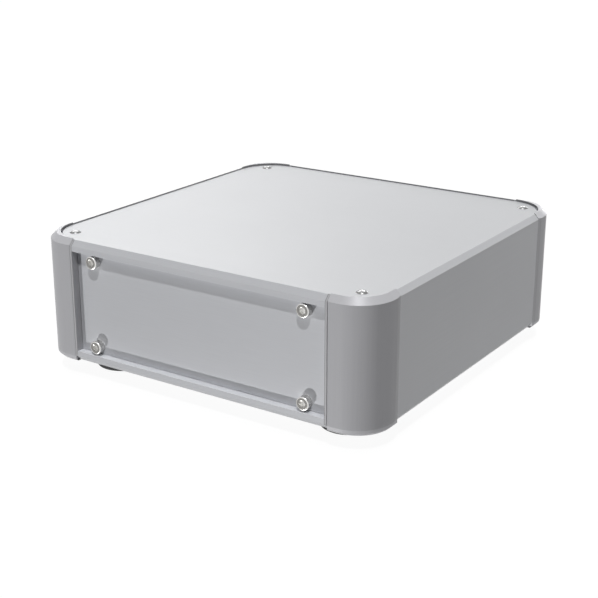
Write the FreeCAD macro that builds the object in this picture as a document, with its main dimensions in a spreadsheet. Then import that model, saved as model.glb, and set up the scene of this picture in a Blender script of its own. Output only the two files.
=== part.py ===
"""Low square instrument enclosure made from aluminium extrusions.

Four round corner posts carry two side panels and two rail frames, which hold recessed
front and rear panels. Flat covers close the top and the bottom. It stands on rubber feet.
Millimetres, +Z up, origin at the middle of the footprint on the surface it stands on.
Every body is drawn about the middle of the box and then lifted to its height.
"""
import FreeCAD, Part
import math
import os
import Sketcher

doc = FreeCAD.newDocument("Enclosure")
sheet = doc.addObject("Spreadsheet::Sheet", "Sizes")
parts = []


class Term:
    """A number that remembers the sheet formula it comes from."""

    def __init__(self, value, text=None):
        self.value = float(value)
        self.text = text if text is not None else repr(float(value))

    def join(self, sign, other):
        other = other if isinstance(other, Term) else Term(other)
        text = f"({self.text} {sign} {other.text})"
        if sign == "+":
            return Term(self.value + other.value, text)
        if sign == "-":
            return Term(self.value - other.value, text)
        if sign == "*":
            return Term(self.value * other.value, text)
        return Term(self.value / other.value, text)

    def __add__(self, other):
        return self.join("+", other)

    def __sub__(self, other):
        return self.join("-", other)

    def __mul__(self, other):
        return self.join("*", other)

    def __truediv__(self, other):
        return self.join("/", other)

    def __neg__(self):
        return self.join("*", -1.0)


def size(name, value, note):
    """Put one driving size in the sheet and hand it back."""
    row = len(sheet.getUsedCells()) // 3 + 1
    sheet.set(f"A{row}", name)
    sheet.set(f"B{row}", str(value))
    sheet.set(f"C{row}", note)
    sheet.setAlias(f"B{row}", name)
    return Term(value, f"Sizes.{name}")


# Box
width = size("width", 160.0, "outside, left to right")
depth = size("depth", 160.0, "outside, front to rear")
frame_height = size("frame_height", 51.7, "rails and side panels, bottom to top")
post_proud = size("post_proud", 0.4, "posts stand above and below the rails")
edge_chamfer = size("edge_chamfer", 2.2, "long outer edges of rails and side panels")
rim_land = size("rim_land", 0.3, "flat rim between chamfer and cover")
joint_gap = size("joint_gap", 0.05, "between pieces that are pushed together")

# Corner posts
corner_radius = size("corner_radius", 15.0, "outside of a post")
post_face = size("post_face", 18.8, "front of a post, from the corner to its seam")
post_side_face = size("post_side_face", 19.6, "side of a post, from the corner to its seam")
post_side_slope = size("post_side_slope", 2.3, "width of the slope down to the side panel")
post_top_chamfer = size("post_top_chamfer", 2.4, "top outer edge of a post")
post_foot_chamfer = size("post_foot_chamfer", 1.2, "bottom outer edge of a post")
post_seam_chamfer = size("post_seam_chamfer", 0.35, "upright edge beside the bracket")
post_wall = size("post_wall", 5.6, "round outer wall of a post")
post_inner_round = size("post_inner_round", 8.8, "outer corner of the hollow")
post_front_web = size("post_front_web", 3.0, "web against the panel bracket")
post_side_web = size("post_side_web", 5.0, "web against the side panel")
post_boss = size("post_boss", 7.4, "round screw port in the post")

# Covers
cover_thickness = size("cover_thickness", 1.5, "top and bottom covers")
cover_recess = size("cover_recess", 0.5, "cover lies below the rails' rim")
cover_gap = size("cover_gap", 0.2, "round the edge of a cover")
cover_corner = size("cover_corner", 17.4, "corner radius of a cover")
rim_corner = size("rim_corner", 16.4, "corner radius inside the rim round a cover")
cover_screw_inset = size("cover_screw_inset", 11.5, "cover screws, in from each side")

# Side panels
side_inset = size("side_inset", 0.4, "side panel lies inside the posts' outer face")
side_wall = size("side_wall", 2.6, "wall of a side panel")
side_ledge = size("side_ledge", 10.0, "reach of the ledges that carry the covers")
side_ledge_thickness = size("side_ledge_thickness", 2.0, "their thickness")
tongue_thickness = size("tongue_thickness", 2.0, "tongue at each end of a side panel")
tongue_length = size("tongue_length", 2.8, "how far it enters the post")
tongue_setback = size("tongue_setback", 2.4, "outer face to the tongue")
tongue_margin = size("tongue_margin", 4.0, "tongue stops short of top and bottom")
tongue_gap = size("tongue_gap", 0.15, "round a tongue in its groove")
guide_reach = size("guide_reach", 3.0, "board guides, in from the wall")
guide_rib = size("guide_rib", 1.2, "thickness of a guide rib")
guide_slot = size("guide_slot", 2.0, "slot between the two ribs of a guide")
guide_pitch = size("guide_pitch", 14.0, "guides, one above the other")

# Rails
rail_face = size("rail_face", 4.4, "height of a rail seen from the front")
rail_depth = size("rail_depth", 11.0, "rail, front to back")
rail_stop = size("rail_stop", 1.2, "lip behind the edge of the panel")
rail_screw_depth = size("rail_screw_depth", 8.0, "rail screws, in from the front")
rail_screw_down = size("rail_screw_down", 4.1, "rail screws, below the rim")

# Front and rear panels and their brackets
panel_thickness = size("panel_thickness", 2.0, "front and rear panels")
panel_recess = size("panel_recess", 3.2, "panel lies behind the rails")
panel_gap = size("panel_gap", 0.2, "round the edge of a panel")
panel_screw_side = size("panel_screw_side", 9.5, "panel screws, in from its ends")
panel_screw_edge = size("panel_screw_edge", 3.15, "panel screws, in from top and bottom")
bracket_web = size("bracket_web", 1.0, "plate between post and rails")
bracket_depth = size("bracket_depth", 16.0, "plate, front to back")
bracket_flange = size("bracket_flange", 2.6, "flange behind the panel")
bracket_reach = size("bracket_reach", 14.7, "flange, in from the plate")
frame_screw_depth = size("frame_screw_depth", 11.6, "frame screws, in from the front")
frame_screw_spread = size("frame_screw_spread", 24.0, "frame screws, one above the other")

# Fasteners
bore_gap = size("bore_gap", 0.1, "threaded bore over screw diameter")
hole_gap = size("hole_gap", 0.4, "clearance hole over screw diameter")
cap_screw = size("cap_screw", 3.0, "panel and frame screws, diameter")
cap_head = size("cap_head", 5.5, "head diameter")
cap_head_height = size("cap_head_height", 3.0, "head height")
cap_head_edge = size("cap_head_edge", 0.3, "bevel round the head")
cap_socket = size("cap_socket", 2.5, "hexagon across flats")
cap_socket_depth = size("cap_socket_depth", 1.5, "hexagon depth")
panel_screw_length = size("panel_screw_length", 8.0, "under the head")
frame_screw_length = size("frame_screw_length", 4.0, "under the head")
flat_screw = size("flat_screw", 2.5, "cover screws, diameter")
flat_head = size("flat_head", 4.7, "countersunk head diameter")
flat_length = size("flat_length", 8.0, "over all")
flat_socket = size("flat_socket", 1.5, "hexagon across flats")
flat_socket_depth = size("flat_socket_depth", 0.8, "hexagon depth")
rail_screw = size("rail_screw", 2.0, "rail screws, diameter")
rail_head = size("rail_head", 3.8, "countersunk head diameter")
rail_screw_length = size("rail_screw_length", 7.0, "over all")

# Feet
foot_height = size("foot_height", 7.0, "surface to the bottom of the posts")
foot_diameter = size("foot_diameter", 22.6, "at the surface")
foot_draft = size("foot_draft", 3.0, "degrees, the foot narrows upwards")
foot_edge = size("foot_edge", 0.8, "rounding at the surface")
foot_inset = size("foot_inset", 23.7, "foot centres, in from each side")
foot_recess = size("foot_recess", 7.0, "recess for the screw head, diameter")
foot_recess_depth = size("foot_recess_depth", 4.0, "recess from below")
foot_screw_length = size("foot_screw_length", 8.0, "under the head")
foot_nut = size("foot_nut", 5.5, "nut across flats")
foot_nut_height = size("foot_nut_height", 2.4, "nut height")

# Places that several pieces share, with the middle of the box at z = 0
x_side = width / 2
y_front = depth / 2
z_rim = frame_height / 2
z_post = z_rim + post_proud
z_cover = z_rim - cover_recess
z_seat = z_cover - cover_thickness
x_seam = x_side - post_face
y_seam = y_front - post_side_face
x_panel_face = x_side - side_inset
x_cover_edge = x_side - edge_chamfer - rim_land
y_cover_edge = y_front - edge_chamfer - rim_land
x_bracket = x_seam - bracket_web
z_opening = z_rim - rail_face
y_panel = y_front - panel_recess
y_panel_back = y_panel - panel_thickness
x_panel_screw = x_bracket - panel_gap - panel_screw_side
z_panel_screw = z_opening - panel_gap - panel_screw_edge
x_cover_screw = x_side - cover_screw_inset
y_cover_screw = y_front - cover_screw_inset
y_rail_screw = y_front - rail_screw_depth
z_rail_screw = z_rim - rail_screw_down
y_frame_screw = y_front - frame_screw_depth
x_foot = x_side - foot_inset
y_foot = y_front - foot_inset
z_middle = foot_height + z_post


def new_body(label, turn=None, several=False):
    """Start one piece. turn is the axis it is turned half round about, if any."""
    body = doc.addObject("PartDesign::Body", label)
    body.Label = label
    if several:
        body.AllowCompound = True
    if turn is not None:
        body.Placement = FreeCAD.Placement(FreeCAD.Vector(), FreeCAD.Rotation(turn, 180))
    body.setExpression("Placement.Base.z", z_middle.text)
    parts.append(body)
    return body


def new_sketch(body, plane, offset=None):
    """A sketch on one of the body's own planes, moved along that plane's normal."""
    sketch = body.newObject("Sketcher::SketchObject", body.Label + "_outline")
    for feature in body.Origin.OriginFeatures:
        if feature.Role == plane + "_Plane":
            sketch.AttachmentSupport = [(feature, "")]
    sketch.MapMode = "FlatFace"
    if offset is not None:
        sketch.AttachmentOffset = FreeCAD.Placement(
            FreeCAD.Vector(0, 0, offset.value), FreeCAD.Rotation())
        sketch.setExpression("AttachmentOffset.Base.z", offset.text)
    return sketch


def bind(sketch, constraint, term):
    """Add a dimension to the sketch and tie it to the sheet."""
    index = sketch.addConstraint(constraint)
    sketch.setExpression(f"Constraints[{index}]", term.text)


def place(sketch, geometry, point, x, y):
    """Fix one point of a sketch by its distances from the sketch origin."""
    bind(sketch, Sketcher.Constraint("DistanceX", -1, 1, geometry, point, x.value), x)
    bind(sketch, Sketcher.Constraint("DistanceY", -1, 1, geometry, point, y.value), y)


def polygon(sketch, corners):
    """Closed outline through the given corners."""
    first = sketch.GeometryCount
    count = len(corners)
    for number in range(count):
        x1, y1 = corners[number]
        x2, y2 = corners[(number + 1) % count]
        start = FreeCAD.Vector(x1.value, y1.value, 0)
        end = FreeCAD.Vector(x2.value, y2.value, 0)
        sketch.addGeometry(Part.LineSegment(start, end), False)
    for number in range(count):
        following = first + (number + 1) % count
        sketch.addConstraint(Sketcher.Constraint("Coincident", first + number, 2, following, 1))
    for number in range(count):
        place(sketch, first + number, 1, corners[number][0], corners[number][1])


def round_outline(sketch, points):
    """Straight sides through the points, closed by a quarter round from last to first."""
    count = len(points)
    for number in range(count - 1):
        start = FreeCAD.Vector(points[number][0].value, points[number][1].value, 0)
        end = FreeCAD.Vector(points[number + 1][0].value, points[number + 1][1].value, 0)
        sketch.addGeometry(Part.LineSegment(start, end), False)
    for number in range(count - 2):
        sketch.addConstraint(Sketcher.Constraint("Coincident", number, 2, number + 1, 1))
    for number in range(count - 1):
        place(sketch, number, 1, points[number][0], points[number][1])
    place(sketch, count - 2, 2, points[-1][0], points[-1][1])
    x_centre, y_centre = points[0][0], points[-1][1]
    centre = FreeCAD.Vector(x_centre.value, y_centre.value, 0)
    radius = abs(points[0][1].value - y_centre.value)
    begin = math.atan2(0, points[-1][0].value - x_centre.value)
    finish = math.atan2(points[0][1].value - y_centre.value, 0)
    ends = (1, 2)
    if points[-1][0].value * points[0][1].value < 0:
        begin, finish = finish, begin
        ends = (2, 1)
    if finish < begin:
        finish += 2 * math.pi
    circle = Part.Circle(centre, FreeCAD.Vector(0, 0, 1), radius)
    arc = sketch.addGeometry(Part.ArcOfCircle(circle, begin, finish), False)
    bind(sketch, Sketcher.Constraint("DistanceX", -1, 1, arc, 3, x_centre.value), x_centre)
    sketch.addConstraint(Sketcher.Constraint("Coincident", arc, ends[0], count - 2, 2))
    sketch.addConstraint(Sketcher.Constraint("Coincident", arc, ends[1], 0, 1))


def rectangle(sketch, x1, y1, x2, y2):
    """Rectangle from one corner to the opposite one."""
    polygon(sketch, [(x1, y1), (x2, y1), (x2, y2), (x1, y2)])


def circles(sketch, centres, diameter):
    """Circles of one diameter round the given centres."""
    for x, y in centres:
        centre = FreeCAD.Vector(x.value, y.value, 0)
        circle = Part.Circle(centre, FreeCAD.Vector(0, 0, 1), diameter.value / 2)
        index = sketch.addGeometry(circle, False)
        place(sketch, index, 3, x, y)
        bind(sketch, Sketcher.Constraint("Diameter", index, diameter.value), diameter)


def hexagons(sketch, centres, flats):
    """Regular hexagons, given by their width across flats."""
    for x, y in centres:
        corners = []
        for step in range(6):
            reach = flats / math.sqrt(3)
            turn = math.radians(60 * step)
            corners.append((x + reach * math.cos(turn), y + reach * math.sin(turn)))
        polygon(sketch, corners)


def all_four(x, y):
    """The same place in each quarter of the piece."""
    return [(x, y), (-x, y), (-x, -y), (x, -y)]


def pad(body, sketch, length, both_ways=False, back=False, draft=None):
    """Extrude a sketch."""
    feature = body.newObject("PartDesign::Pad", body.Label + "_pad")
    feature.Profile = sketch
    feature.Length = length.value
    feature.setExpression("Length", length.text)
    if both_ways:
        feature.SideType = "Symmetric"
    if back:
        feature.Reversed = True
    if draft is not None:
        feature.TaperAngle = draft.value
        feature.setExpression("TaperAngle", draft.text)
    sketch.Visibility = False
    return feature


def pocket(body, sketch, length, both_ways=False, back=False):
    """Cut a sketch into the piece. It cuts against the sketch normal unless back is set."""
    feature = body.newObject("PartDesign::Pocket", body.Label + "_pocket")
    feature.Profile = sketch
    feature.Length = length.value
    feature.setExpression("Length", length.text)
    if both_ways:
        feature.SideType = "Symmetric"
    if back:
        feature.Reversed = True
    sketch.Visibility = False
    return feature


def chamfer(body, base, edges, amount):
    """Bevel some edges of the last feature."""
    feature = body.newObject("PartDesign::Chamfer", body.Label + "_bevel")
    feature.Base = (base, edges)
    feature.Size = amount.value
    feature.setExpression("Size", amount.text)
    return feature


def edges_where(feature, test):
    """Names of the edges of a feature that pass a test."""
    names = []
    for number, edge in enumerate(feature.Shape.Edges, 1):
        if test(edge):
            names.append(f"Edge{number}")
    return names


# Corner posts. sx and sy say which corner: +1 is right or rear, -1 is left or front.
def make_post(label, sx, sy):
    body = new_body(label)
    x_face = x_side * sx
    y_face = y_front * sy
    x_inner = x_seam * sx
    y_inner = y_seam * sy
    cut = post_seam_chamfer

    # Outline: two flat faces with the round corner between them, a bevel beside the bracket
    # and a slope down to the side panel
    sketch = new_sketch(body, "XY")
    round_outline(sketch, [
        (x_face - corner_radius * sx, y_face),
        (x_inner + cut * sx, y_face),
        (x_inner, y_face - cut * sy),
        (x_inner, y_inner),
        (x_face - side_inset * sx, y_inner),
        (x_face, y_inner + post_side_slope * sy),
        (x_face, y_face - corner_radius * sy),
    ])
    pad(body, sketch, z_post * 2, both_ways=True)

    # Hollow, with the round screw port left standing in its inner corner
    sketch = new_sketch(body, "XY")
    x_near = (x_seam + post_front_web) * sx
    y_near = (y_seam + post_side_web) * sy
    x_far = (x_side - post_wall) * sx
    y_far = (y_front - post_wall) * sy
    round_outline(sketch, [
        (x_far - post_inner_round * sx, y_far),
        (x_near, y_far),
        (x_near, y_near),
        (x_far, y_near),
        (x_far, y_far - post_inner_round * sy),
    ])
    pocket(body, sketch, z_post * 2, both_ways=True)
    sketch = new_sketch(body, "XY")
    circles(sketch, [(x_cover_screw * sx, y_cover_screw * sy)], post_boss)
    pad(body, sketch, z_post * 2, both_ways=True)
    sketch = new_sketch(body, "XY")
    circles(sketch, [(x_cover_screw * sx, y_cover_screw * sy)], flat_screw + bore_gap)
    pocket(body, sketch, z_post * 2, both_ways=True)

    # Groove for the tongue of the side panel
    sketch = new_sketch(body, "XY")
    x_tongue = x_side - tongue_setback
    rectangle(sketch, (x_tongue + tongue_gap) * sx, y_inner,
              (x_tongue - tongue_thickness - tongue_gap) * sx,
              (y_seam + tongue_length + tongue_gap) * sy)
    z_groove = z_seat - tongue_margin + tongue_gap
    pocket(body, sketch, z_groove * 2, both_ways=True)

    # Bores for the screws of the panel bracket
    sketch = new_sketch(body, "YZ", x_inner)
    circles(sketch, [(y_frame_screw * sy, frame_screw_spread / 2),
                     (y_frame_screw * sy, -frame_screw_spread / 2)], cap_screw + bore_gap)
    pocket(body, sketch, post_front_web, back=sx > 0)

    # Seats for the two covers, with the round inner rim left standing outside them
    for upper in (True, False):
        level = z_seat if upper else -z_seat
        sketch = new_sketch(body, "XY", level)
        x_rim = x_cover_edge * sx
        y_rim = y_cover_edge * sy
        round_outline(sketch, [
            (x_rim - rim_corner * sx, y_rim),
            (x_inner - cut * sx, y_rim),
            (x_inner - cut * sx, y_inner - cut * sy),
            (x_rim, y_inner - cut * sy),
            (x_rim, y_rim - rim_corner * sy),
        ])
        last = pocket(body, sketch, cover_thickness + cover_recess + post_proud, back=upper)

    # Bevels round the top and the foot of the outer face
    for level, amount in ((z_post, post_top_chamfer), (-z_post, post_foot_chamfer)):
        doc.recompute()

        def on_outside(edge, level=level):
            box = edge.BoundBox
            flat = abs(box.ZMin - level.value) < 0.01 and abs(box.ZMax - level.value) < 0.01
            point = edge.CenterOfMass
            out_x = abs(point.x) - abs(x_seam.value)
            out_y = abs(point.y) - abs(y_seam.value)
            reach = max(out_x, out_y)
            wall = min(abs(x_side.value) - abs(box.Center.x), abs(y_front.value) - abs(box.Center.y))
            on_face = wall < 0.01 or (edge.Curve.TypeId == "Part::GeomCircle"
                                      and abs(edge.Curve.Radius - corner_radius.value) < 0.01)
            return flat and reach > 0 and on_face

        last = chamfer(body, last, edges_where(last, on_outside), amount)
    return body


for label, sx, sy in (("post_front_left", -1, -1), ("post_front_right", 1, -1),
                      ("post_rear_right", 1, 1), ("post_rear_left", -1, 1)):
    make_post(label, sx, sy)

# Side panels: one extruded section with ledges for the covers and guides for boards
def make_side_panel(label, turn=None):
    body = new_body(label, turn)
    length = (y_seam - joint_gap) * 2
    x_wall = x_panel_face - side_wall
    x_reach = x_cover_edge - side_ledge
    upper = [
        (x_panel_face, z_rim - edge_chamfer),
        (x_side - edge_chamfer, z_rim),
        (x_cover_edge, z_rim),
        (x_cover_edge, z_seat),
        (x_reach, z_seat),
        (x_reach, z_seat - side_ledge_thickness),
        (x_wall, z_seat - side_ledge_thickness),
    ]
    guides = []
    for step in (1, 0, -1):
        centre = guide_pitch * step
        high = centre + guide_slot / 2
        low = centre - guide_slot / 2
        guides += [
            (x_wall, high + guide_rib),
            (x_wall - guide_reach, high + guide_rib),
            (x_wall - guide_reach, high),
            (x_wall, high),
            (x_wall, low),
            (x_wall - guide_reach, low),
            (x_wall - guide_reach, low - guide_rib),
            (x_wall, low - guide_rib),
        ]
    lower = [(x, -z) for x, z in reversed(upper)]
    sketch = new_sketch(body, "XZ")
    polygon(sketch, upper + guides + lower)
    pad(body, sketch, length, both_ways=True)

    # Tongues that enter the grooves of the posts
    sketch = new_sketch(body, "XY")
    x_outer = x_side - tongue_setback
    reach = y_seam + tongue_length
    for end in (1, -1):
        rectangle(sketch, x_outer, (y_seam - side_wall) * end,
                  x_outer - tongue_thickness, reach * end)
    pad(body, sketch, (z_seat - tongue_margin) * 2, both_ways=True)


make_side_panel("side_panel_right")
make_side_panel("side_panel_left", FreeCAD.Vector(0, 0, 1))


# Rails: the front upper one is drawn and the others are the same piece turned over or round
def make_rail(label, turn=None):
    body = new_body(label, turn)
    sketch = new_sketch(body, "YZ")
    y_lip = edge_chamfer + rim_land - y_front
    polygon(sketch, [
        (-y_front, z_opening),
        (-y_front, z_rim - edge_chamfer),
        (edge_chamfer - y_front, z_rim),
        (y_lip, z_rim),
        (y_lip, z_seat),
        (rail_depth - y_front, z_seat),
        (rail_depth - y_front, z_opening - rail_stop),
        (-y_panel_back, z_opening - rail_stop),
        (-y_panel_back, z_opening),
    ])
    pad(body, sketch, (x_bracket - joint_gap) * 2, both_ways=True)
    for end in (1, -1):
        sketch = new_sketch(body, "YZ", (x_bracket - joint_gap) * end)
        circles(sketch, [(-y_rail_screw, z_rail_screw)], rail_screw + bore_gap)
        pocket(body, sketch, rail_screw_length, back=end < 0)


make_rail("rail_front_top")
make_rail("rail_front_bottom", FreeCAD.Vector(0, 1, 0))
make_rail("rail_rear_top", FreeCAD.Vector(0, 0, 1))
make_rail("rail_rear_bottom", FreeCAD.Vector(1, 0, 0))


# Panel brackets: a plate between post and rails, with a flange behind the panel
def make_bracket(label, turn=None):
    body = new_body(label, turn)
    y_lip = edge_chamfer + rim_land - y_front
    outline = [
        (-y_front, z_rim - edge_chamfer),
        (edge_chamfer - y_front, z_rim),
        (y_lip, z_rim),
        (y_lip, z_seat),
        (bracket_depth - y_front, z_seat),
    ]
    outline += [(y, -z) for y, z in reversed(outline)]
    sketch = new_sketch(body, "YZ", -x_seam)
    polygon(sketch, outline)
    pad(body, sketch, bracket_web)
    sketch = new_sketch(body, "XZ", y_panel_back)
    z_flange = z_opening - rail_stop - joint_gap
    rectangle(sketch, -x_seam, -z_flange, bracket_reach - x_bracket, z_flange)
    pad(body, sketch, bracket_flange, back=True)

    # Bores for the panel screws, holes for the frame screws and countersinks for the rails'
    sketch = new_sketch(body, "XZ", y_panel_back)
    circles(sketch, [(-x_panel_screw, z_panel_screw), (-x_panel_screw, -z_panel_screw)],
            cap_screw + bore_gap)
    pocket(body, sketch, bracket_flange)
    sketch = new_sketch(body, "YZ", -x_seam)
    circles(sketch, [(-y_frame_screw, frame_screw_spread / 2),
                     (-y_frame_screw, -frame_screw_spread / 2)], cap_screw + hole_gap)
    pocket(body, sketch, bracket_web, back=True)
    sketch = new_sketch(body, "YZ", -x_seam)
    circles(sketch, [(-y_rail_screw, z_rail_screw), (-y_rail_screw, -z_rail_screw)],
            rail_screw + bore_gap)
    pocket(body, sketch, bracket_web, back=True)
    sketch = new_sketch(body, "YZ", -x_seam)
    circles(sketch, [(-y_rail_screw, z_rail_screw), (-y_rail_screw, -z_rail_screw)],
            rail_head + bore_gap)
    sink = pocket(body, sketch, (rail_head - rail_screw) / 2, back=True)
    sink.TaperAngle = -45


make_bracket("panel_bracket_front_left")
make_bracket("panel_bracket_front_right", FreeCAD.Vector(0, 1, 0))
make_bracket("panel_bracket_rear_right", FreeCAD.Vector(0, 0, 1))
make_bracket("panel_bracket_rear_left", FreeCAD.Vector(1, 0, 0))


# Front and rear panels
def make_panel(label, turn=None):
    body = new_body(label, turn)
    sketch = new_sketch(body, "XZ", y_panel_back)
    x_end = x_bracket - panel_gap
    z_end = z_opening - panel_gap
    rectangle(sketch, -x_end, -z_end, x_end, z_end)
    circles(sketch, all_four(x_panel_screw, z_panel_screw), cap_screw + hole_gap)
    pad(body, sketch, panel_thickness)


make_panel("front_panel")
make_panel("rear_panel", FreeCAD.Vector(0, 0, 1))


# Covers, with countersunk screws in the corners and holes for the feet in the lower one
def make_cover(label, turn=None, with_feet=False):
    body = new_body(label, turn)
    sketch = new_sketch(body, "XY", z_seat)
    x_end = x_cover_edge - cover_gap
    y_end = y_cover_edge - cover_gap
    rectangle(sketch, -x_end, -y_end, x_end, y_end)
    plate = pad(body, sketch, cover_thickness)
    doc.recompute()

    def upright(edge):
        return edge.BoundBox.ZLength > edge.BoundBox.DiagonalLength * 0.9

    corners = body.newObject("PartDesign::Fillet", label + "_corners")
    corners.Base = (plate, edges_where(plate, upright))
    corners.Radius = cover_corner.value
    corners.setExpression("Radius", cover_corner.text)
    sketch = new_sketch(body, "XY", z_cover)
    circles(sketch, all_four(x_cover_screw, y_cover_screw), flat_screw + hole_gap)
    pocket(body, sketch, cover_thickness)
    sketch = new_sketch(body, "XY", z_cover)
    circles(sketch, all_four(x_cover_screw, y_cover_screw), flat_head + bore_gap)
    sink = pocket(body, sketch, (flat_head - flat_screw) / 2)
    sink.TaperAngle = -45
    if with_feet:
        sketch = new_sketch(body, "XY", z_cover)
        circles(sketch, all_four(x_foot, y_foot), cap_screw + hole_gap)
        pocket(body, sketch, cover_thickness)


make_cover("top_cover")
make_cover("bottom_cover", FreeCAD.Vector(1, 0, 0), with_feet=True)


# Panel screws: socket head cap screws, four to a panel
def make_panel_screws(label, turn=None):
    body = new_body(label, turn, several=True)
    places = all_four(x_panel_screw, z_panel_screw)
    sketch = new_sketch(body, "XZ", y_panel)
    circles(sketch, places, cap_head)
    heads = pad(body, sketch, cap_head_height)
    doc.recompute()
    y_crown = y_panel + cap_head_height

    def on_crown(edge):
        return abs(edge.CenterOfMass.y + y_crown.value) < 0.01 and len(edge.Vertexes) == 1

    chamfer(body, heads, edges_where(heads, on_crown), cap_head_edge)
    sketch = new_sketch(body, "XZ", y_panel)
    circles(sketch, places, cap_screw)
    pad(body, sketch, panel_screw_length, back=True)
    sketch = new_sketch(body, "XZ", y_crown)
    hexagons(sketch, places, cap_socket)
    pocket(body, sketch, cap_socket_depth)


make_panel_screws("front_panel_screws")
make_panel_screws("rear_panel_screws", FreeCAD.Vector(0, 0, 1))


# Cover screws: countersunk, four to a cover
def make_cover_screws(label, turn=None):
    body = new_body(label, turn, several=True)
    places = all_four(x_cover_screw, y_cover_screw)
    sketch = new_sketch(body, "XY", z_cover)
    circles(sketch, places, flat_screw)
    pad(body, sketch, flat_length, back=True)
    sketch = new_sketch(body, "XY", z_cover)
    circles(sketch, places, flat_head)
    head = pad(body, sketch, (flat_head - flat_screw) / 2, back=True)
    head.TaperAngle = -45
    sketch = new_sketch(body, "XY", z_cover)
    hexagons(sketch, places, flat_socket)
    pocket(body, sketch, flat_socket_depth)


make_cover_screws("top_cover_screws")
make_cover_screws("bottom_cover_screws", FreeCAD.Vector(1, 0, 0))


# Rail screws: countersunk in the brackets, hidden by the posts
def make_rail_screws(label, turn=None):
    body = new_body(label, turn, several=True)
    places = [(-y_rail_screw, z_rail_screw), (-y_rail_screw, -z_rail_screw),
              (y_rail_screw, z_rail_screw), (y_rail_screw, -z_rail_screw)]
    sketch = new_sketch(body, "YZ", x_seam)
    circles(sketch, places, rail_screw)
    pad(body, sketch, rail_screw_length, back=True)
    sketch = new_sketch(body, "YZ", x_seam)
    circles(sketch, places, rail_head)
    head = pad(body, sketch, (rail_head - rail_screw) / 2, back=True)
    head.TaperAngle = -45


make_rail_screws("rail_screws_right")
make_rail_screws("rail_screws_left", FreeCAD.Vector(0, 0, 1))


# Frame screws: they hold the brackets to the posts from inside the box
def make_frame_screws(label, turn=None):
    body = new_body(label, turn, several=True)
    high = frame_screw_spread / 2
    places = [(-y_frame_screw, high), (-y_frame_screw, -high),
              (y_frame_screw, high), (y_frame_screw, -high)]
    sketch = new_sketch(body, "YZ", x_bracket)
    circles(sketch, places, cap_head)
    pad(body, sketch, cap_head_height, back=True)
    sketch = new_sketch(body, "YZ", x_bracket)
    circles(sketch, places, cap_screw)
    pad(body, sketch, frame_screw_length)
    sketch = new_sketch(body, "YZ", x_bracket - cap_head_height)
    hexagons(sketch, places, cap_socket)
    pocket(body, sketch, cap_socket_depth, back=True)


make_frame_screws("frame_screws_right")
make_frame_screws("frame_screws_left", FreeCAD.Vector(0, 0, 1))


# Rubber feet under the lower cover, each held by a screw and a nut
z_floor = -z_middle
z_recess = z_floor + foot_recess_depth


def make_foot(label, sx, sy):
    body = new_body(label)
    place_one = [(x_foot * sx, y_foot * sy)]
    foot_reach = -z_cover - z_floor
    sketch = new_sketch(body, "XY", z_floor)
    circles(sketch, place_one, foot_diameter)
    block = pad(body, sketch, foot_reach, draft=-foot_draft)
    doc.recompute()

    def at_floor(edge):
        return abs(edge.CenterOfMass.z - z_floor.value) < 0.01

    fillet = body.newObject("PartDesign::Fillet", label + "_round")
    fillet.Base = (block, edges_where(block, at_floor))
    fillet.Radius = foot_edge.value
    fillet.setExpression("Radius", foot_edge.text)
    sketch = new_sketch(body, "XY", z_floor)
    circles(sketch, place_one, foot_recess)
    pocket(body, sketch, foot_recess_depth, back=True)
    sketch = new_sketch(body, "XY", z_floor)
    circles(sketch, place_one, cap_screw + hole_gap)
    pocket(body, sketch, foot_reach, back=True)


for label, sx, sy in (("foot_front_left", -1, -1), ("foot_front_right", 1, -1),
                      ("foot_rear_right", 1, 1), ("foot_rear_left", -1, 1)):
    make_foot(label, sx, sy)

body = new_body("foot_screws", several=True)
sketch = new_sketch(body, "XY", z_recess)
circles(sketch, all_four(x_foot, y_foot), cap_head)
pad(body, sketch, cap_head_height, back=True)
sketch = new_sketch(body, "XY", z_recess)
circles(sketch, all_four(x_foot, y_foot), cap_screw)
pad(body, sketch, foot_screw_length)
sketch = new_sketch(body, "XY", z_recess - cap_head_height)
hexagons(sketch, all_four(x_foot, y_foot), cap_socket)
pocket(body, sketch, cap_socket_depth, back=True)

body = new_body("foot_nuts", several=True)
sketch = new_sketch(body, "XY", -z_seat)
hexagons(sketch, all_four(x_foot, y_foot), foot_nut)
circles(sketch, all_four(x_foot, y_foot), cap_screw + bore_gap)
pad(body, sketch, foot_nut_height)

doc.recompute()
failed = []
for item in doc.Objects:
    if "Invalid" in item.State or "Error" in item.State:
        failed.append(item.Name)
for item in parts:
    if item.Shape.isNull() or not item.Shape.isValid():
        failed.append(item.Label)
if failed:
    raise RuntimeError("these did not build: " + ", ".join(failed))
os.makedirs("parts", exist_ok=True)
for item in parts:
    item.Shape.exportStep(f"parts/{item.Label}.step")
    print(item.Label, len(item.Shape.Solids), round(item.Shape.Volume, 1))
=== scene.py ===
"""Looks of a low square instrument enclosure made from aluminium extrusions.

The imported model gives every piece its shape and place. This script gives each surface its finish
and sets the enclosure on a pale floor under studio light. Metres, +Z up.
"""
import bmesh
import bpy
import math
from mathutils import Matrix, Vector


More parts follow.
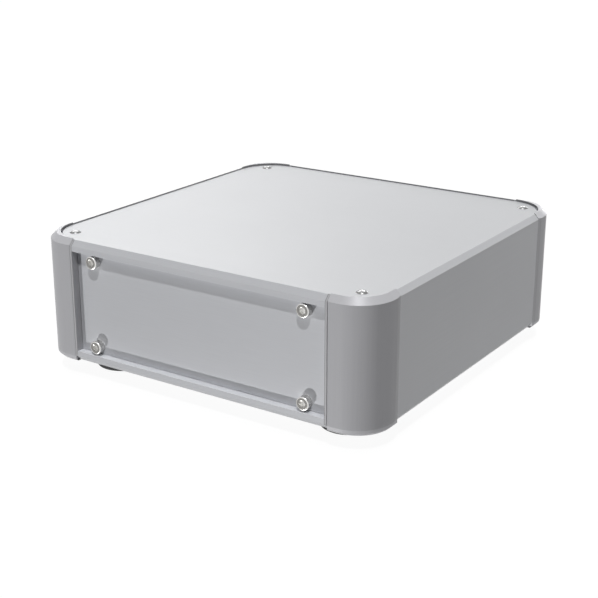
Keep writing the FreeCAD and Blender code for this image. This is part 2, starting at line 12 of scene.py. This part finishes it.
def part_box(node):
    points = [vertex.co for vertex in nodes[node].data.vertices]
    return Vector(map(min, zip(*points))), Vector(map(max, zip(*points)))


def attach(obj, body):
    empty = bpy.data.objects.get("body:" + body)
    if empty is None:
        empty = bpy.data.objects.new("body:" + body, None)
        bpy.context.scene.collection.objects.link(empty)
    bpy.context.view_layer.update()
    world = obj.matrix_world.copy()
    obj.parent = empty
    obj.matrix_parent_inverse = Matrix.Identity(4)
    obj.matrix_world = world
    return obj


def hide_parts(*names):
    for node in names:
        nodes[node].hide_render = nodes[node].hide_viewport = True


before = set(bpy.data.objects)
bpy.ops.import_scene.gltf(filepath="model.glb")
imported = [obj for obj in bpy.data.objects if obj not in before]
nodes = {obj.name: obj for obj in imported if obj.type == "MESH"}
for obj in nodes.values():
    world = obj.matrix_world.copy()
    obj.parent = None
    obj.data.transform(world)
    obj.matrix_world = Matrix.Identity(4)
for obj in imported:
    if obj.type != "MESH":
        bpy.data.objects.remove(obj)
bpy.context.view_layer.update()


# Corner posts. Each is an aluminium extrusion with a round outer wall, cut to length and
# anodised silver after a fine blast, so that its skin is matt with faint upright die lines.
# They stand at the four corners, and everything else is held between them.
def new_finish(name):
    """A new material, its nodes, its shader and its coordinates on the object."""
    material = bpy.data.materials.new(name)
    material.use_nodes = True
    tree = material.node_tree
    return material, tree, tree.nodes["Principled BSDF"], tree.nodes.new("ShaderNodeTexCoord")


def worked_out(tree, operation, first, second=0.0):
    """Socket with the result of one sum on two sockets, or on a socket and a number."""
    node = tree.nodes.new("ShaderNodeMath")
    node.operation = operation
    for value, entry in zip((first, second), node.inputs):
        if isinstance(value, (int, float)):
            entry.default_value = value
        else:
            tree.links.new(value, entry)
    return node.outputs["Value"]


def spread_number(tree, value, start, end, low, high):
    """Socket that goes from low to high as value goes from start to end."""
    step = tree.nodes.new("ShaderNodeMapRange")
    for name, number in (("From Min", start), ("From Max", end), ("To Min", low), ("To Max", high)):
        step.inputs[name].default_value = number
    tree.links.new(value, step.inputs["Value"])
    return step.outputs["Result"]


def noise_on(tree, place, stretch, detail):
    """Noise on object coordinates, with so many waves to the metre along X, Y and Z."""
    mapping = tree.nodes.new("ShaderNodeMapping")
    mapping.inputs["Scale"].default_value = stretch
    tree.links.new(place.outputs["Object"], mapping.inputs["Vector"])
    noise = tree.nodes.new("ShaderNodeTexNoise")
    noise.inputs["Scale"].default_value = 1.0
    noise.inputs["Detail"].default_value = detail
    tree.links.new(mapping.outputs["Vector"], noise.inputs["Vector"])
    return noise.outputs["Fac"]


def sway_about(tree, noise, middle, sway):
    """Socket that follows a noise up and down about a middle number."""
    return spread_number(tree, noise, noise_low, noise_high, middle - sway, middle + sway)


def toned(tree, tone, amount):
    """Colour socket with one tone made lighter and darker by amount, a socket."""
    colour = tree.nodes.new("ShaderNodeVectorMath")
    colour.operation = "SCALE"
    colour.inputs["Vector"].default_value = tone
    tree.links.new(amount, colour.inputs["Scale"])
    return colour.outputs["Vector"]


def raise_grain(tree, shader, grain, strength, height):
    """Let a noise stand a little above the surface."""
    bump = tree.nodes.new("ShaderNodeBump")
    bump.inputs["Strength"].default_value = strength
    bump.inputs["Distance"].default_value = height
    tree.links.new(grain, bump.inputs["Height"])
    tree.links.new(bump.outputs["Normal"], shader.inputs["Normal"])


def anodised(name, tone, line_waves, roughness, metal):
    """Silver anodised aluminium: blasted grain, faint lines and soft clouds."""
    material, tree, shader, place = new_finish(name)
    shader.inputs["Metallic"].default_value = metal
    shader.inputs["IOR"].default_value = skin_ior
    clouds = noise_on(tree, place, cloud_waves, 2)
    lines = noise_on(tree, place, line_waves, 3)
    grain = noise_on(tree, place, grain_waves, 2)
    shade = worked_out(tree, "MULTIPLY", sway_about(tree, clouds, 1.0, cloud_sway),
                       sway_about(tree, lines, 1.0, line_sway))
    tree.links.new(toned(tree, tone, shade), shader.inputs["Base Color"])
    tree.links.new(sway_about(tree, lines, roughness, skin_gloss_sway),
                   shader.inputs["Roughness"])
    raise_grain(tree, shader, grain, grain_strength, grain_height)
    return material


def dress(names, material):
    """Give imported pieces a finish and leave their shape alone."""
    for name in names:
        mesh = nodes[name].data
        mesh.materials.clear()
        mesh.materials.append(material)


def lift_tone(material, amount):
    """Multiply a finish's colour by amount, a socket that differs from face to face."""
    tree = material.node_tree
    colour = tree.nodes["Principled BSDF"].inputs["Base Color"]
    lift = tree.nodes.new("ShaderNodeVectorMath")
    lift.operation = "SCALE"
    tree.links.new(colour.links[0].from_socket, lift.inputs["Vector"])
    tree.links.new(amount, lift.inputs["Scale"])
    tree.links.new(lift.outputs["Vector"], colour)


def off_middle(tree, place):
    """Socket with the distance above or below the middle height of the covers."""
    apart = tree.nodes.new("ShaderNodeSeparateXYZ")
    tree.links.new(place.outputs["Object"], apart.inputs["Vector"])
    return worked_out(tree, "ABSOLUTE", worked_out(tree, "SUBTRACT", apart.outputs["Z"],
                                                   covers_middle))


def paint_step_shade(material):
    """Paint shade on the small step down to the cover: its inward wall, where shade falls in the
    gap, is painted darker.
    """
    tree = material.node_tree
    place = tree.nodes.new("ShaderNodeTexCoord")
    facing = tree.nodes.new("ShaderNodeVectorMath")
    facing.operation = "DOT_PRODUCT"
    tree.links.new(place.outputs["Object"], facing.inputs[0])
    tree.links.new(place.outputs["Normal"], facing.inputs[1])
    inwards = worked_out(tree, "LESS_THAN", facing.outputs["Value"], facing_in)
    beyond = worked_out(tree, "GREATER_THAN", off_middle(tree, place), cover_face - step_margin)
    # Painted shade: inward faces above the cover's face are made darker.
    in_step_shade = worked_out(tree, "MULTIPLY", inwards, beyond)
    lift_tone(material, spread_number(tree, in_step_shade, 0.0, 1.0, 1.0, step_painted_shade))


noise_low = 0.3
noise_high = 0.7
skin_ior = 1.5
post_ior = 1.35
cloud_waves = (25, 25, 25)
cloud_sway = 0.01
line_sway = 0.015
skin_gloss_sway = 0.03
grain_waves = (4000, 4000, 4000)
grain_strength = 0.12
grain_height = 0.00002
upright_lines = (2500, 2500, 20)
posts = ["post_front_left", "post_front_right", "post_rear_right", "post_rear_left"]
low_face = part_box("bottom_cover")[0].z
high_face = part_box("top_cover")[1].z
covers_middle = (low_face + high_face) / 2
cover_face = (high_face - low_face) / 2
facing_in = -0.03
step_margin = 0.00005
step_painted_shade = 0.35
post_chamfer = 0.0024
chamfer_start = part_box(posts[0])[1].z - post_chamfer - covers_middle
chamfer_painted_highlight = 1.12
chamfer_metal = 0.08
chamfer_blur = 0.00004

# The front posts are painted darker and the rear posts lighter: painted shade and painted light on
# copies of one skin.
for name, tone, group in (("front_post_painted_shade", (0.62, 0.62, 0.645), posts[:2]),
                          ("rear_post_painted_light", (0.71, 0.71, 0.735), posts[2:])):
    post_skin = anodised(name, tone, upright_lines, 0.4, 0.0)
    tree = post_skin.node_tree
    shader = tree.nodes["Principled BSDF"]
    shader.inputs["IOR"].default_value = post_ior
    place = tree.nodes.new("ShaderNodeTexCoord")
    out = off_middle(tree, place)
    # The top chamfer is painted lighter as a painted highlight, and is a little more metallic.
    edge = (chamfer_start - chamfer_blur, chamfer_start + chamfer_blur)
    lift_tone(post_skin, spread_number(tree, out, *edge, 1.0, chamfer_painted_highlight))
    tree.links.new(spread_number(tree, out, *edge, 0.0, chamfer_metal),
                   shader.inputs["Metallic"])
    paint_step_shade(post_skin)
    dress(group, post_skin)


# Side panels. Each is one extrusion that runs from front to rear between two posts, with
# the same blasted and anodised skin. Its die lines run along the box.
lengthways_lines = (2500, 20, 2500)
side_skin = anodised("side_skin", (0.74, 0.75, 0.775), lengthways_lines, 0.42, 0.05)
paint_step_shade(side_skin)
dress(["side_panel_right", "side_panel_left"], side_skin)


# Rails. They are aluminium extrusions across the front and the rear, with die lines from
# left to right. The seats beside the panel are painted lighter, as painted light.
seat_height = 0.0044
seat_painted_light = 1.28
seat_blur = 0.00006
sideways_lines = (20, 2500, 2500)
rail_skin = anodised("rail_skin", (0.69, 0.70, 0.73), sideways_lines, 0.42, 0.05)
tree = rail_skin.node_tree
place = tree.nodes.new("ShaderNodeTexCoord")
seat = covers_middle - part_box("rail_front_bottom")[0].z - seat_height
# Painted light: the seats' tone is lifted.
lit_seat = worked_out(tree, "COMPARE", off_middle(tree, place), seat)
lit_seat.node.inputs[2].default_value = seat_blur
lift_tone(rail_skin, spread_number(tree, lit_seat, 0.0, 1.0, 1.0, seat_painted_light))
paint_step_shade(rail_skin)
dress(["rail_front_top", "rail_front_bottom", "rail_rear_top", "rail_rear_bottom"], rail_skin)


# Panel brackets. They are aluminium plates between the posts and the rails, and only their
# front edges show, as a thin strip. The two seams beside it are painted shade, dark bands on
# the flat front edge, and the inner flanks are painted darker as painted shade.
bracket_finishes = (anodised("bracket_skin", (0.58, 0.58, 0.60), upright_lines, 0.42, 0.05),
                    anodised("bracket_flank_painted_shade", (0.44, 0.44, 0.46), upright_lines, 0.45, 0.0),
                    anodised("seam_painted_shade", (0.34, 0.34, 0.35), upright_lines, 0.5, 0.0))
bracket_flank_painted_shade = 1
seam_painted_shade = 2
seam_width = 0.00022
strip_depth = 0.003
facing_sideways = 0.7
facing_front = 0.5
same_point = 1e-6
for node in ("panel_bracket_front_left", "panel_bracket_front_right",
             "panel_bracket_rear_right", "panel_bracket_rear_left"):
    bm = bmesh.new()
    bm.from_mesh(nodes[node].data)
    bmesh.ops.remove_doubles(bm, verts=bm.verts, dist=same_point)
    bm.normal_update()
    low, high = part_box(node)
    inwards = -math.copysign(1.0, low.x)
    for face in bm.faces:
        # Inner flanks take the painted shade.
        if inwards * face.normal.x > facing_sideways:
            face.material_index = bracket_flank_painted_shade
        else:
            face.material_index = 0
    front = max(abs(low.y), abs(high.y))
    strip = [face for face in bm.faces if abs(face.normal.y) > facing_front
             and all(front - abs(vert.co.y) < strip_depth for vert in face.verts)]
    # The seams are painted shade: a flat dark ring on the front edge, not an open gap.
    seam = bmesh.ops.inset_region(bm, faces=strip, thickness=seam_width, depth=0.0,
                                  use_boundary=True, use_even_offset=True)["faces"]
    for face in seam:
        face.material_index = seam_painted_shade
    mesh = bpy.data.meshes.new(node + "_seamed")
    bm.to_mesh(mesh)
    bm.free()
    mesh.shade_flat()
    for material in bracket_finishes:
        mesh.materials.append(material)
    piece = bpy.data.objects.new(node + "_seamed", mesh)
    bpy.context.collection.objects.link(piece)
    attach(piece, "root")
    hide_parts(node)


# Front and rear panels. They are cut from 2 mm aluminium sheet, finely brushed from left to
# right before anodising. Each lies against the brackets' flanges and is held by four screws.
brushed_lines = (60, 2500, 2500)
panel_skin = anodised("panel_skin", (0.665, 0.675, 0.705), brushed_lines, 0.42, 0.05)
dress(["front_panel", "rear_panel"], panel_skin)


# Covers. They are cut from 1.5 mm sheet with a matt anodised skin, and lie in the rim
# that the rails, side panels and posts make.
cover_skin = anodised("cover_skin", (0.645, 0.655, 0.675), brushed_lines, 0.38, 0.05)
dress(["top_cover", "bottom_cover"], cover_skin)


# Panel screws. They are M3 socket head cap screws, turned, with a knurled head and a hexagon
# socket. Rim, flank and socket are painted light as painted highlights, and the face is a
# darker copy of the same steel, painted shade. Four hold each panel, their heads on its face.
def steel(name, tone, roughness):
    """Steel with fine turning marks."""
    material, tree, shader, place = new_finish(name)
    shader.inputs["Metallic"].default_value = 1.0
    marks = noise_on(tree, place, mark_waves, 2)
    tree.links.new(toned(tree, tone, sway_about(tree, marks, mark_tone, mark_sway)),
                   shader.inputs["Base Color"])
    tree.links.new(sway_about(tree, marks, roughness, mark_sway), shader.inputs["Roughness"])
    return material


def turned(profile):
    """Round piece about Z. The profile is points of (radius, height) and ends on the axis."""
    bm = bmesh.new()
    verts = [bm.verts.new((radius, 0, height)) for radius, height in profile]
    edges = [bm.edges.new(pair) for pair in zip(verts, verts[1:])]
    bmesh.ops.spin(bm, geom=verts + edges, cent=(0, 0, 0), axis=(0, 0, 1), angle=math.tau,
                   steps=screw_steps, use_merge=True)
    bmesh.ops.remove_doubles(bm, verts=bm.verts, dist=same_point)
    return bm


def sink_hexagon(bm, across, mouth, depth):
    """Close a round piece's open top with a hexagon socket from height mouth down."""
    rim = [edge for edge in bm.edges if edge.is_boundary]
    before = set(bm.edges)
    corners = bmesh.ops.create_circle(bm, segments=6, radius=across / math.sqrt(3))["verts"]
    bmesh.ops.translate(bm, verts=corners, vec=(0, 0, mouth))
    sides = [edge for edge in bm.edges if edge not in before]
    bmesh.ops.subdivide_edges(bm, edges=sides, cuts=screw_steps // 6 - 1)
    lip = [edge for edge in bm.edges if edge.is_wire]
    bmesh.ops.bridge_loops(bm, edges=rim + lip)
    wall = bmesh.ops.extrude_edge_only(bm, edges=lip)["geom"]
    low = [item for item in wall if isinstance(item, bmesh.types.BMVert)]
    bmesh.ops.translate(bm, verts=low, vec=(0, 0, -depth))
    base = [edge for edge in bm.edges if edge.is_boundary]
    bottom = bmesh.ops.edgeloop_fill(bm, edges=base)["faces"]
    middle = bmesh.ops.poke(bm, faces=bottom)["verts"]
    bmesh.ops.translate(bm, verts=middle, vec=(0, 0, -across * drill_point))
    bmesh.ops.recalc_face_normals(bm, faces=bm.faces)


def paint_highlight_faces(bm, picks):
    """Give the painted-highlight steel to faces that picks chooses by their widest and lowest
    points.
    """
    for face in bm.faces:
        widest = max(math.hypot(vert.co.x, vert.co.y) for vert in face.verts)
        lowest = min(vert.co.z for vert in face.verts)
        face.material_index = int(picks(widest, lowest))


def screws(name, one, places, steels, node):
    """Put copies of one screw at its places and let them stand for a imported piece."""
    single = bpy.data.meshes.new(name + "_one")
    one.to_mesh(single)
    every = bmesh.new()
    for place in places:
        every.from_mesh(single)
        every.verts.ensure_lookup_table()
        bmesh.ops.transform(every, matrix=place, verts=every.verts[-len(single.vertices):])
    mesh = bpy.data.meshes.new(name)
    every.to_mesh(mesh)
    every.free()
    bpy.data.meshes.remove(single)
    mesh.shade_smooth()
    mesh.set_sharp_from_angle(angle=sharp_angle)
    for material in steels:
        mesh.materials.append(material)
    piece = bpy.data.objects.new(name, mesh)
    bpy.context.collection.objects.link(piece)
    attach(piece, "root")
    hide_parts(node)


mark_waves = (3000, 3000, 3000)
mark_tone = 0.96
mark_sway = 0.04
screw_steps = 72
sharp_angle = math.radians(32)
drill_point = 0.125
cap_steels = (steel("cap_steel", (0.24, 0.235, 0.225), 0.24),
              steel("cap_painted_highlight", (0.75, 0.745, 0.73), 0.28))
head_radius = 0.00275
head_height = 0.003
head_bevel = 0.00034
face_edge = 0.0024
cap_hexagon = 0.0025
cap_hexagon_depth = 0.0014
socket_edge = 0.00157
mouth_drop = 0.00012
knurl_top = head_height - 0.0004
knurl_scale = 0.975
cap_shank = 0.0015
cap_length = 0.008
cap_profile = [(0.00158, head_height - 0.00006), (0.00166, head_height),
               (0.00236, head_height), (0.00252, head_height - 0.00004),
               (0.00267, head_height - 0.00015), (head_radius, head_height - head_bevel),
               (head_radius, head_height - 0.0005), (head_radius, 0.0003),
               (head_radius - 0.00015, 0.0), (cap_shank, 0.0),
               (cap_shank, 0.0004 - cap_length), (cap_shank - 0.0003, -cap_length),
               (0.0, -cap_length)]
cap = turned(cap_profile)
for vert in cap.verts:
    tooth = round(math.atan2(vert.co.y, vert.co.x) / math.tau * screw_steps)
    around = math.hypot(vert.co.x, vert.co.y)
    if tooth % 2 and abs(around - head_radius) < same_point and vert.co.z < knurl_top:
        bmesh.ops.scale(cap, vec=(knurl_scale, knurl_scale, 1.0), verts=[vert])
sink_hexagon(cap, cap_hexagon, head_height - mouth_drop, cap_hexagon_depth)
paint_highlight_faces(cap, lambda widest, lowest: widest > face_edge or widest < socket_edge and lowest > 0)

for end, outwards in (("front", -1), ("rear", 1)):
    node = end + "_panel_screws"
    low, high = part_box(node)
    middle = (low + high) / 2
    reach = (high - low) / 2
    base = (low.y if outwards < 0 else high.y) - outwards * head_height
    upright = Matrix.Rotation(outwards * math.radians(-90), 4, "X")
    places = []
    for along, up, turn in ((-1, -1, 10), (1, -1, 41), (-1, 1, 24), (1, 1, 3)):
        spot = Vector((middle.x + along * (reach.x - head_radius), base,
                       middle.z + up * (reach.z - head_radius)))
        places.append(Matrix.Translation(spot) @ upright
                      @ Matrix.Rotation(math.radians(turn), 4, "Z"))
    screws(node + "_turned", cap, places, cap_steels, node)
cap.free()


# Cover screws. They are M2.5 raised countersunk screws of plated steel with a hexagon socket,
# whose socket and its rim are painted bright as a painted highlight. Four hold each cover, and
# their low domes stand half a millimetre above it.
dome_steels = (steel("dome_steel", (0.23, 0.23, 0.23), 0.26),
               steel("dome_painted_highlight", (0.90, 0.90, 0.90), 0.45))
flat_head = 0.00235
highlight_edge = 0.00107
dome_hexagon = 0.0015
dome_hexagon_depth = 0.0009
dome_radius = 0.00233
dome_rise = 0.00055
dome_shank = 0.00125
dome_cone = 0.0011
dome_length = 0.008
dome_profile = [(0.00098, dome_rise - 0.00005), (0.00106, dome_rise),
                (0.00125, dome_rise - 0.00001), (0.00145, dome_rise - 0.00005),
                (0.00165, dome_rise - 0.00013), (0.00185, dome_rise - 0.00025),
                (0.00202, dome_rise - 0.00037), (0.00216, dome_rise - 0.00049),
                (0.00224, 0.0), (dome_radius, -0.00002), (dome_shank, -dome_cone),
                (dome_shank, 0.0003 - dome_length), (dome_shank - 0.00025, -dome_length),
                (0.0, -dome_length)]
dome = turned(dome_profile)
sink_hexagon(dome, dome_hexagon, dome_rise - mouth_drop, dome_hexagon_depth)
paint_highlight_faces(dome, lambda widest, lowest: widest < highlight_edge and lowest > -dome_cone)

for side, upwards in (("top", 1), ("bottom", -1)):
    node = side + "_cover_screws"
    low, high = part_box(node)
    middle = (low + high) / 2
    reach = (high - low) / 2
    face = high.z if upwards > 0 else low.z
    over = Matrix.Rotation(0 if upwards > 0 else math.pi, 4, "X")
    places = []
    for across, along, turn in ((-1, -1, 15), (1, -1, 38), (-1, 1, 52), (1, 1, 6)):
        spot = Vector((middle.x + across * (reach.x - flat_head),
                       middle.y + along * (reach.y - flat_head), face))
        places.append(Matrix.Translation(spot) @ over
                      @ Matrix.Rotation(math.radians(turn), 4, "Z"))
    screws(node + "_turned", dome, places, dome_steels, node)
dome.free()


# Hidden screws and nuts. Stainless screws hold the rails and the brackets inside the frame,
# and the feet are screwed to nuts on the lower cover.
screw_steel = steel("screw_steel", (0.62, 0.61, 0.58), 0.28)
dress(["rail_screws_right", "rail_screws_left", "frame_screws_right", "frame_screws_left",
       "foot_screws", "foot_nuts"], screw_steel)


# Feet. They are moulded in soft black rubber, slightly narrower at the top, and screwed
# up against the lower cover.
rubber_tone = (0.022, 0.022, 0.023)
rubber_sway = 0.2
rubber_roughness = 0.675
rubber_gloss_sway = 0.075
pore_waves = (1500, 1500, 1500)
pore_strength = 0.3
pore_depth = 0.00005
rubber, tree, shader, place = new_finish("foot_rubber")
pores = noise_on(tree, place, pore_waves, 3)
tree.links.new(toned(tree, rubber_tone, sway_about(tree, pores, 1.0, rubber_sway)),
               shader.inputs["Base Color"])
tree.links.new(sway_about(tree, pores, rubber_roughness, rubber_gloss_sway),
               shader.inputs["Roughness"])
raise_grain(tree, shader, pores, pore_strength, pore_depth)
dress(["foot_front_left", "foot_front_right", "foot_rear_right", "foot_rear_left"], rubber)


# Floor and backdrop. Both show as plain white, and the floor keeps a faint shadow. The
# floor throws no shadow itself, so that the low lamp reaches the front.
def seen_directly(tree):
    """1 for a ray from the camera, a mirror or glass, else 0."""
    path = tree.nodes.new("ShaderNodeLightPath").outputs
    looks = worked_out(tree, "MAXIMUM", path["Is Camera Ray"], path["Is Glossy Ray"])
    return worked_out(tree, "MAXIMUM", looks, path["Is Transmission Ray"])


floor_reach = 6.0
floor_drop = 0.00005
floor_tone = (0.12, 0.12, 0.12, 1)
floor_glow = 0.93
bpy.ops.mesh.primitive_plane_add(size=floor_reach, location=(0, 0, -floor_drop))
floor = bpy.context.object
floor.name = "floor"
floor.visible_shadow = False
paint = bpy.data.materials.new("floor_paint")
paint.use_nodes = True
tree = paint.node_tree
tree.nodes.clear()
matt = tree.nodes.new("ShaderNodeBsdfDiffuse")
matt.inputs["Color"].default_value = floor_tone
glow = tree.nodes.new("ShaderNodeEmission")
glow.inputs["Strength"].default_value = floor_glow
both = tree.nodes.new("ShaderNodeAddShader")
pick = tree.nodes.new("ShaderNodeMixShader")
end = tree.nodes.new("ShaderNodeOutputMaterial")
tree.links.new(matt.outputs["BSDF"], both.inputs[0])
tree.links.new(glow.outputs["Emission"], both.inputs[1])
tree.links.new(seen_directly(tree), pick.inputs["Fac"])
tree.links.new(matt.outputs["BSDF"], pick.inputs[1])
tree.links.new(both.outputs["Shader"], pick.inputs[2])
tree.links.new(pick.outputs["Shader"], end.inputs["Surface"])
floor.data.materials.append(paint)

soft_level = 0.02
white_level = 1.0
world = bpy.data.worlds.new("studio")
world.use_nodes = True
bpy.context.scene.world = world
tree = world.node_tree
tree.nodes.clear()
pick = tree.nodes.new("ShaderNodeMixShader")
for entry, level in ((1, soft_level), (2, white_level)):
    light = tree.nodes.new("ShaderNodeBackground")
    light.inputs["Color"].default_value = (1, 1, 1, 1)
    light.inputs["Strength"].default_value = level
    tree.links.new(light.outputs["Background"], pick.inputs[entry])
end = tree.nodes.new("ShaderNodeOutputWorld")
tree.links.new(seen_directly(tree), pick.inputs["Fac"])
tree.links.new(pick.outputs["Shader"], end.inputs["Surface"])


# Lamps. One shines from high on the right and one from low on the left, both in front. The
# others are softer: one straight above, and three behind that light the edges and the rear.
def lamp(name, towards, strength, spread):
    """A distant lamp. towards is the way from the object to the lamp."""
    data = bpy.data.lights.new(name, "SUN")
    data.energy = strength
    data.angle = math.radians(spread)
    item = bpy.data.objects.new(name, data)
    item.rotation_euler = Vector(towards).to_track_quat("Z", "Y").to_euler()
    bpy.context.collection.objects.link(item)


lamp("high_lamp", (0.6, -1.0, 1.98), 1.42, 1.5)
lamp("low_lamp", (-0.6, -1.0, -1.06), 1.36, 1.5)
lamp("top_lamp", (0.0, 0.0, 1.0), 0.7, 18.0)
lamp("back_left_lamp", (-0.6, 0.6, 0.5), 0.48, 25.0)
lamp("back_right_lamp", (0.7, 0.7, 0.1), 0.22, 25.0)
lamp("rear_lamp", (-0.15, 1.0, 0.1), 0.5, 20.0)


# Camera. It stands at the photograph's place, in front, to the right and above, and looks
# down on the enclosure. The lens is the one that the enclosure's straight edges gave.
camera_place = Vector((0.283426, -0.431896, 0.203458))
camera_turn = math.radians(33.635)
camera_tilt = math.radians(19.265)
frame_pixels = 598
focal_pixels = 1260.675
data = bpy.data.cameras.new("camera")
data.sensor_width = 36.0
data.lens = data.sensor_width * focal_pixels / frame_pixels
camera = bpy.data.objects.new("camera", data)
camera.location = camera_place
look = Vector((-math.sin(camera_turn) * math.cos(camera_tilt),
               math.cos(camera_turn) * math.cos(camera_tilt),
               -math.sin(camera_tilt)))
camera.rotation_euler = look.to_track_quat("-Z", "Y").to_euler()
bpy.context.collection.objects.link(camera)
bpy.context.scene.camera = camera

bpy.context.scene.view_settings.view_transform = "Standard"
